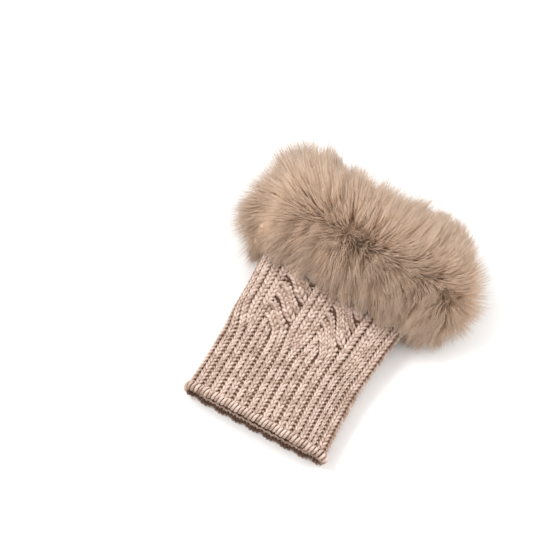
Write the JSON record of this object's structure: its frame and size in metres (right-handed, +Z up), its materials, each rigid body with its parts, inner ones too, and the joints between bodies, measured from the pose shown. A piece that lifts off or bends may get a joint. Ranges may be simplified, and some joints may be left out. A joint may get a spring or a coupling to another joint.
{
  "type": "knit fingerless glove",
  "caption": "Cable-knit wrist warmer with ribs, laid flat and open at both ends, with a deep fur cuff of pointed locks round its hand end.",
  "frame": {"origin": "on the floor, under the middle of the whole piece's box", "axes": "+Y from the hem to the fur cuff, +Z up out of the cabled upper face, +X to the right of the cabled face seen from the hem"},
  "size_m": [0.1674, 0.1846, 0.0573],
  "materials": {
    "wool_knit": "matte",
    "fur": "soft sheen"
  },
  "bodies": {
    "root": {"knit_tube": "wool_knit", "fur_cuff": "fur"}
  },
  "joints": []
}
